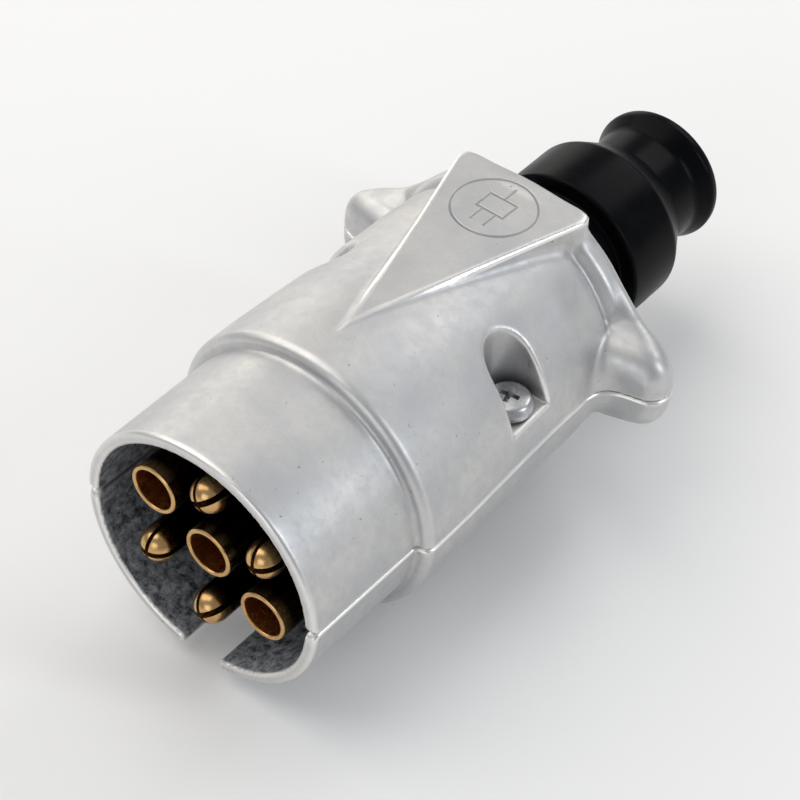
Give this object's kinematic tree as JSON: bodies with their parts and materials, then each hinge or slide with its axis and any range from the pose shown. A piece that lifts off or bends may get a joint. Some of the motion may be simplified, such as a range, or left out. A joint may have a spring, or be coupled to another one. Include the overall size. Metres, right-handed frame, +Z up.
{
  "type": "trailer wiring connector",
  "caption": "Trailer lighting plug: split die-cast shell with finger ears and a keyed sleeve, turned brass tube and pin contacts, cable clamp and a rubber cable boot.",
  "frame": {"origin": "middle of the plug's bounding box, on the surface its flat underside rests on", "axes": "+Y along the plug's axis from the mouth to the cable, +Z up through the raised pad, keyway underneath"},
  "size_m": [0.0584, 0.1064, 0.044],
  "materials": {
    "cast_shell": "tumbled die casting, satin",
    "brass": "turned, bright",
    "insert": "moulded, glossy black",
    "rubber": "moulded, satin black",
    "screw_zinc": "bright zinc plate",
    "clamp_steel": "zinc-plated strip"
  },
  "bodies": {
    "plug": {"lower_shell": "cast_shell", "contact_insert": "insert", "tube_contact_1": "brass", "tube_contact_2": "brass", "tube_contact_3": "brass", "pin_contact_1": "brass", "pin_contact_2": "brass", "pin_contact_3": "brass", "pin_contact_4": "brass", "rubber_grommet": "rubber"},
    "cover": {"upper_shell": "cast_shell"},
    "housing_screw_right": {"housing_screw_right": "screw_zinc"},
    "housing_screw_left": {"housing_screw_left": "screw_zinc"},
    "cable_clamp": {"clamp_bar": "clamp_steel"},
    "clamp_screw_right": {"clamp_screw_right": "screw_zinc"},
    "clamp_screw_left": {"clamp_screw_left": "screw_zinc"},
    "terminal_screw_1": {"terminal_screw_1": "screw_zinc"},
    "terminal_screw_2": {"terminal_screw_2": "screw_zinc"},
    "terminal_screw_3": {"terminal_screw_3": "screw_zinc"},
    "terminal_screw_4": {"terminal_screw_4": "screw_zinc"},
    "terminal_screw_5": {"terminal_screw_5": "screw_zinc"},
    "terminal_screw_6": {"terminal_screw_6": "screw_zinc"},
    "terminal_screw_7": {"terminal_screw_7": "screw_zinc"}
  },
  "joints": [
    {"name": "cover_lift", "type": "slide", "parent": "plug", "child": "cover", "axis": [0, 0, 1], "range_m": [0, 0.03]},
    {"name": "clamp_lift", "type": "slide", "parent": "plug", "child": "cable_clamp", "axis": [0, 0, 1], "range_m": [0, 0.003]},
    {"name": "housing_screw_right_turn", "type": "hinge", "parent": "cover", "child": "housing_screw_right", "pos_m": [0.0164, -0.00815, 0.028], "axis": [0, 0, 1], "continuous": true},
    {"name": "clamp_screw_right_turn", "type": "hinge", "parent": "cable_clamp", "child": "clamp_screw_right", "pos_m": [0.0094, 0.00255, 0.0245], "axis": [0, 0, 1], "continuous": true},
    {"name": "housing_screw_left_turn", "type": "hinge", "parent": "cover", "child": "housing_screw_left", "pos_m": [-0.0164, -0.00815, 0.028], "axis": [0, 0, 1], "continuous": true},
    {"name": "clamp_screw_left_turn", "type": "hinge", "parent": "cable_clamp", "child": "clamp_screw_left", "pos_m": [-0.0094, 0.00255, 0.0245], "axis": [0, 0, 1], "continuous": true},
    {"name": "terminal_screw_1_turn", "type": "hinge", "parent": "plug", "child": "terminal_screw_1", "pos_m": [0.002, -0.01885, 0.02546], "axis": [0.5, 0, 0.866], "continuous": true},
    {"name": "terminal_screw_2_turn", "type": "hinge", "parent": "plug", "child": "terminal_screw_2", "pos_m": [-0.01299, -0.01885, 0.0295], "axis": [-0.866, 0, 0.5], "continuous": true},
    {"name": "terminal_screw_3_turn", "type": "hinge", "parent": "plug", "child": "terminal_screw_3", "pos_m": [0.01299, -0.01885, 0.0145], "axis": [0.866, 0, -0.5], "continuous": true},
    {"name": "terminal_screw_4_turn", "type": "hinge", "parent": "plug", "child": "terminal_screw_4", "pos_m": [0.01299, -0.01885, 0.0295], "axis": [0.866, 0, 0.5], "continuous": true},
    {"name": "terminal_screw_5_turn", "type": "hinge", "parent": "plug", "child": "terminal_screw_5", "pos_m": [0, -0.01885, 0.037], "axis": [0, 0, 1], "continuous": true},
    {"name": "terminal_screw_6_turn", "type": "hinge", "parent": "plug", "child": "terminal_screw_6", "pos_m": [-0.01299, -0.01885, 0.0145], "axis": [-0.866, 0, -0.5], "continuous": true},
    {"name": "terminal_screw_7_turn", "type": "hinge", "parent": "plug", "child": "terminal_screw_7", "pos_m": [0, -0.01885, 0.007], "axis": [0, 0, -1], "continuous": true}
  ]
}
